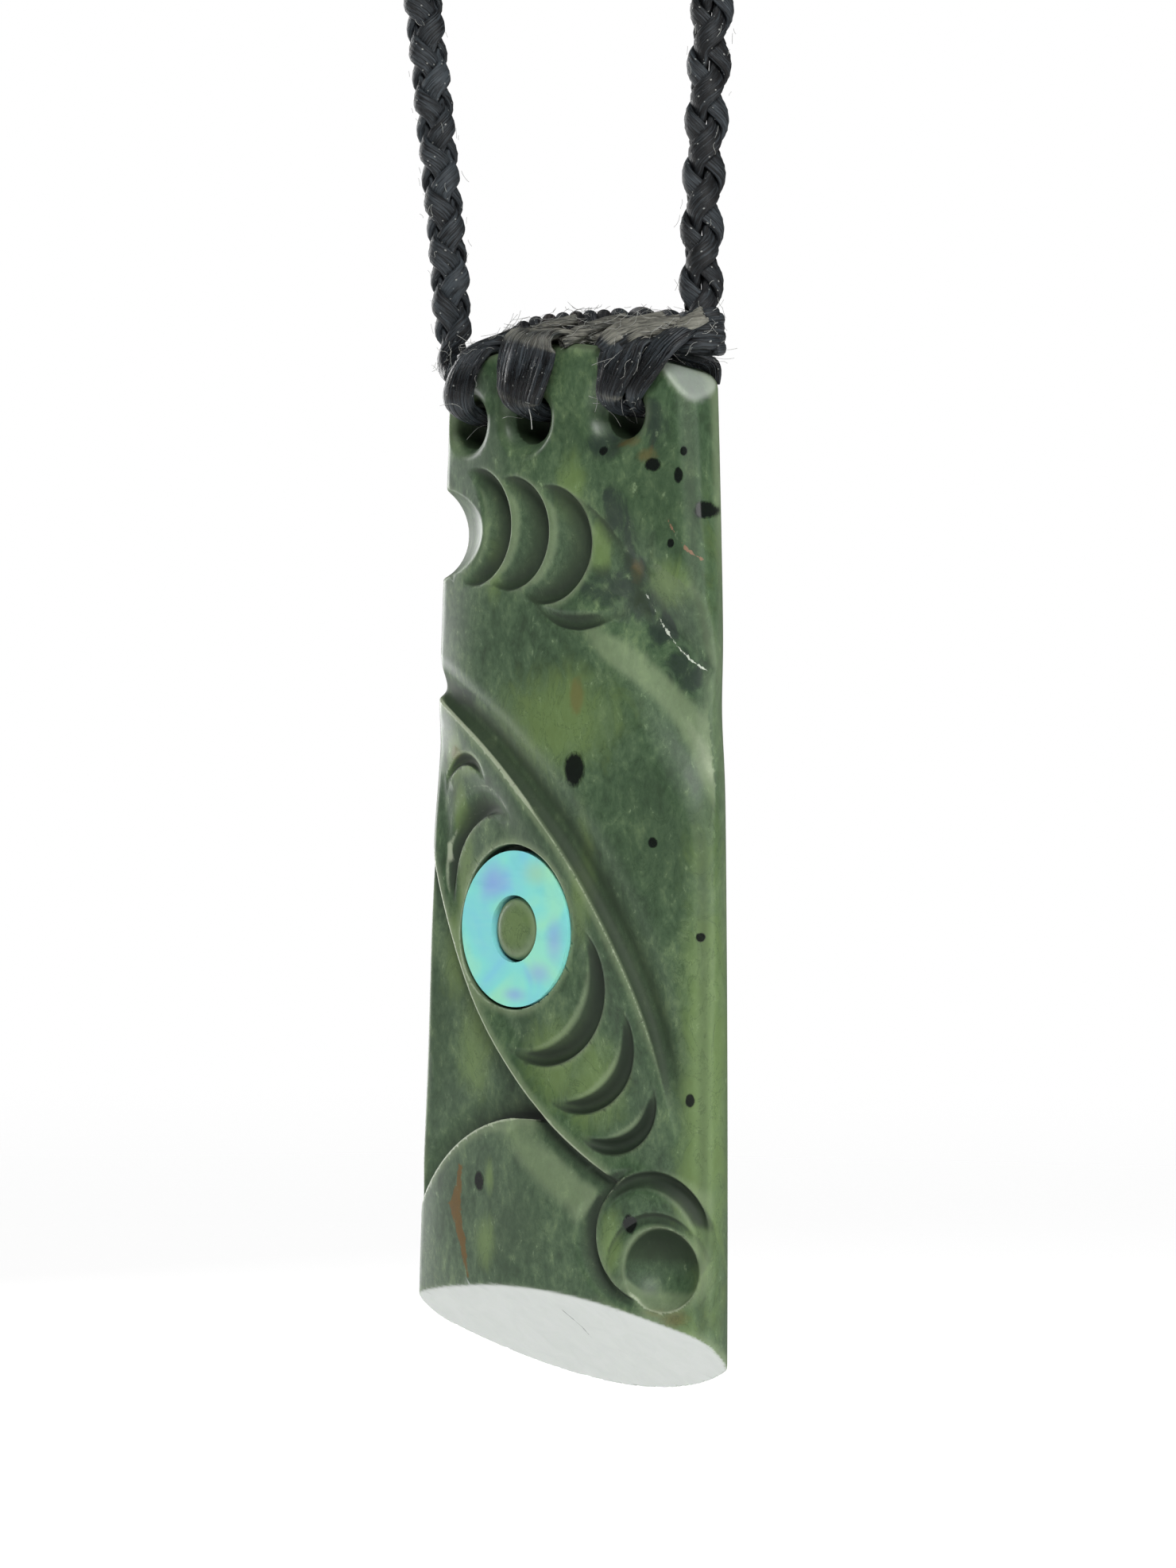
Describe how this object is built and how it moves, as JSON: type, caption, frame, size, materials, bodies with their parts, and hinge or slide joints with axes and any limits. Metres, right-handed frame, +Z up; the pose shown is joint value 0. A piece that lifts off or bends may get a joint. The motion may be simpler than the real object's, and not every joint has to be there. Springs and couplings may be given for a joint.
{
  "type": "adze pendant on a braided neck cord",
  "caption": "Blade-shaped pendant of carved green stone with a let-in ring of shell, lashed through its top to a braided neck cord.",
  "frame": {"origin": "under the wound sleeve at the nape, where the neck cord rests on the back of the neck", "axes": "+Z up, -Y the pendant's carved front, +X to the right of the front. The cord's loop lies in the XZ plane."},
  "size_m": [0.1172, 0.0101, 0.3522],
  "materials": {
    "jade": "satin polished green nephrite",
    "shell": null,
    "lashing": "waxed black thread, worn grey where it bends",
    "braid": "waxed black braided cord",
    "whipping": "waxed black thread, wound"
  },
  "bodies": {
    "root": {"adze": "jade", "shell_ring": "shell", "lashing_start": "lashing", "lashing_left": "lashing", "lashing_middle": "lashing", "lashing_right": "lashing", "lashing_end": "lashing", "top_cord": "lashing", "braid_left": "braid", "braid_right": "braid", "nape_whipping": "whipping"}
  },
  "joints": []
}
